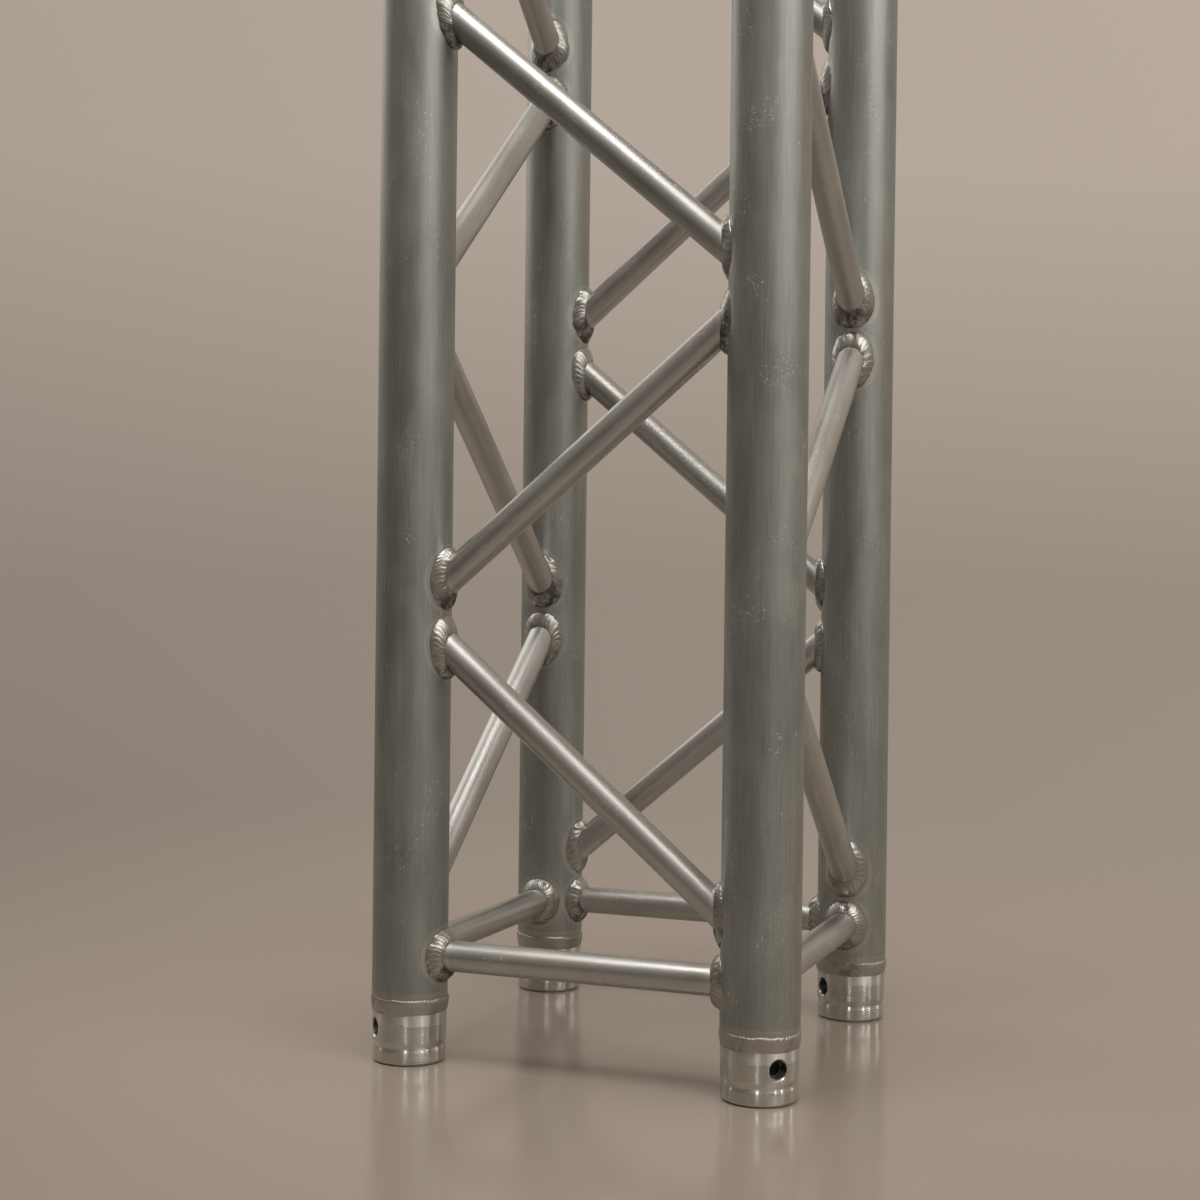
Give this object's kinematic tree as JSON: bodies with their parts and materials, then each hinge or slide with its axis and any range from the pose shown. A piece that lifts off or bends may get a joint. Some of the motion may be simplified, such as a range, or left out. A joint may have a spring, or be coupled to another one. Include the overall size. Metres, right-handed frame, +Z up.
{
  "type": "lighting truss section",
  "caption": "Straight square box truss for stage lighting: tubular chords, zig-zag welded braces, end rungs, and tapered coupler receivers with cross pin holes.",
  "frame": {"origin": "middle of the four chords, on the plane of the bottom receivers' end faces", "axes": "+Z up along the chords; the front face looks along -Y and the right face along +X"},
  "size_m": [0.292, 0.292, 1],
  "materials": {
    "chord_tube": "mill finish extrusion, satin, with fine lengthwise die lines and light handling marks",
    "brace_tube": "smooth drawn tube, brighter than the chords",
    "machined_receiver": "bright turned surface with fine rings",
    "weld_metal": "rippled weld bead, dull grey with bright crests"
  },
  "bodies": {
    "root": {"chord_front_left": "chord_tube", "brace_welds_front_left": "weld_metal", "receiver_bottom_front_left": "machined_receiver", "girth_weld_bottom_front_left": "weld_metal", "receiver_top_front_left": "machined_receiver", "girth_weld_top_front_left": "weld_metal", "chord_front_right": "chord_tube", "brace_welds_front_right": "weld_metal", "receiver_bottom_front_right": "machined_receiver", "girth_weld_bottom_front_right": "weld_metal", "receiver_top_front_right": "machined_receiver", "girth_weld_top_front_right": "weld_metal", "chord_back_right": "chord_tube", "brace_welds_back_right": "weld_metal", "receiver_bottom_back_right": "machined_receiver", "girth_weld_bottom_back_right": "weld_metal", "receiver_top_back_right": "machined_receiver", "girth_weld_top_back_right": "weld_metal", "chord_back_left": "chord_tube", "brace_welds_back_left": "weld_metal", "receiver_bottom_back_left": "machined_receiver", "girth_weld_bottom_back_left": "weld_metal", "receiver_top_back_left": "machined_receiver", "girth_weld_top_back_left": "weld_metal", "front_rung_bottom": "brace_tube", "front_rung_top": "brace_tube", "front_diagonal_1": "brace_tube", "front_diagonal_2": "brace_tube", "front_diagonal_3": "brace_tube", "front_diagonal_4": "brace_tube", "right_rung_bottom": "brace_tube", "right_rung_top": "brace_tube", "right_diagonal_1": "brace_tube", "right_diagonal_2": "brace_tube", "right_diagonal_3": "brace_tube", "right_diagonal_4": "brace_tube", "back_rung_bottom": "brace_tube", "back_rung_top": "brace_tube", "back_diagonal_1": "brace_tube", "back_diagonal_2": "brace_tube", "back_diagonal_3": "brace_tube", "back_diagonal_4": "brace_tube", "left_rung_bottom": "brace_tube", "left_rung_top": "brace_tube", "left_diagonal_1": "brace_tube", "left_diagonal_2": "brace_tube", "left_diagonal_3": "brace_tube", "left_diagonal_4": "brace_tube"}
  },
  "joints": []
}
